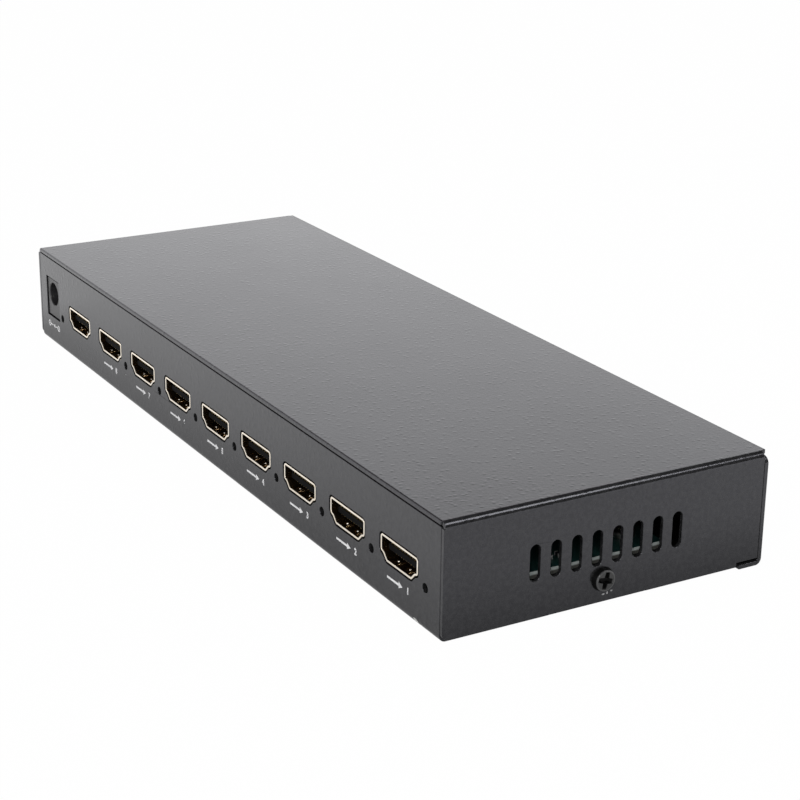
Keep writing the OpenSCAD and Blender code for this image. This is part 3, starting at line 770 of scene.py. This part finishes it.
marks = {"drop": 3.7, "tall": 1.45, "arrow": (-4.5, 1.7), "shaft": 0.5, "barb": 1.5, "digitX": 3.85,
         "digitSize": 2.05, "bold": 0.09, "proud": 0.02, "signDrop": 2.6, "signRing": 0.9, "signLine": 0.32,
         "signReach": 3.4}


def flatMark(piece, name):
    # gives a flat mark in the XY plane its ink thickness, stands it up and leaves it facing the port side
    piece.name = name
    applyModifier(piece, "SOLIDIFY", thickness=marks["proud"] * mm, offset=0)
    piece.rotation_euler.x = math.radians(90)
    applyPlace(piece)
    setFinish(piece, inkWhite)
    return piece


def arrowMark():
    start, tip = marks["arrow"]
    selectNone()
    bpy.ops.mesh.primitive_plane_add(size=1)
    arrow = bpy.context.object
    shaft = tip - marks["barb"] - start
    arrow.scale = (shaft * mm, marks["shaft"] * mm, 1)
    arrow.location = ((start + shaft / 2) * mm, 0, 0)
    applyPlace(arrow)
    end = (start + shaft) * mm
    pickEdges(arrow, lambda at: abs(at.x - end) < tiny)
    bpy.ops.mesh.extrude_region_move(TRANSFORM_OT_translate={"value": (0.02 * mm, 0, 0)})
    flare = marks["tall"] / marks["shaft"]
    bpy.ops.transform.resize(value=(1, flare, 1), center_override=(end, 0, 0))
    bpy.ops.mesh.extrude_region_move(TRANSFORM_OT_translate={"value": (marks["barb"] * mm, 0, 0)})
    bpy.ops.transform.resize(value=(1, 0.02, 1), center_override=(end, 0, 0))
    bpy.ops.object.mode_set(mode="OBJECT")
    return flatMark(arrow, "arrow_mark")


def digitMark(digit):
    selectNone()
    bpy.ops.object.text_add()
    text = bpy.context.object
    text.data.body = str(digit)
    text.data.size = marks["digitSize"] * mm
    text.data.align_x, text.data.align_y = "CENTER", "CENTER"
    text.data.offset = marks["bold"] * mm
    makeActive(text)
    bpy.ops.object.convert(target="MESH")
    return flatMark(bpy.context.object, "number_%d" % digit)


def barAt(x, wide, tall):
    selectNone()
    bpy.ops.mesh.primitive_plane_add(size=1)
    bar = bpy.context.object
    bar.scale = (wide * mm, tall * mm, 1)
    bar.location.x = x * mm
    applyPlace(bar)
    return bar


def ringAt(x, radius, width, gap=-1.1):
    # a flat ring; faces left of the gap line are taken out
    selectNone()
    bpy.ops.mesh.primitive_circle_add(vertices=40, radius=radius * mm, fill_type="NGON")
    ring = bpy.context.object
    editAll(ring)
    bpy.ops.mesh.inset(thickness=width * mm)
    bpy.ops.mesh.delete(type="FACE")
    pickFaces(ring, lambda centre, normal: centre.x < gap * radius * mm)
    bpy.ops.mesh.delete(type="FACE")
    bpy.ops.object.mode_set(mode="OBJECT")
    ring.location.x = x * mm
    applyPlace(ring)
    return ring


def polaritySign():
    size, line, reach = marks["signRing"], marks["signLine"], marks["signReach"]
    stretch = reach - 2 * size
    strokes = [ringAt(-reach, size, line), ringAt(0, size, line, 0.55), ringAt(reach, size, line),
               ringAt(0, 0.45 * size, 0.4 * size),
               barAt(-reach, size, line), barAt(reach, size, line), barAt(reach, line, size),
               barAt(-size - stretch / 2, stretch, line), barAt(reach / 2 - 0.25 * size, reach - 1.5 * size, line)]
    makeActive(strokes[0])
    for stroke in strokes:
        stroke.select_set(True)
    bpy.ops.object.join()
    return flatMark(bpy.context.object, "polarity_sign")


def placeMark(mark, x, z):
    mark.data.transform(Matrix.Translation(Vector((x, cadBox[0].y, z))))
    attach(mark, "case")


def printMarks():
    arrow = arrowMark()
    for digit in range(1, 9):
        low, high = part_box("output_%d_port_shell" % digit)
        x, z = (low.x + high.x) / 2, low.z - (marks["drop"] - marks["tall"]) * mm
        placeMark(copyPiece(arrow, "arrow_%d" % digit), x, z)
        placeMark(digitMark(digit), x + marks["digitX"] * mm, z)
    bpy.data.objects.remove(arrow)
    low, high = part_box("dc_jack_housing")
    placeMark(polaritySign(), (low.x + high.x) / 2, low.z - marks["signDrop"] * mm)


printMarks()
print("marks printed")
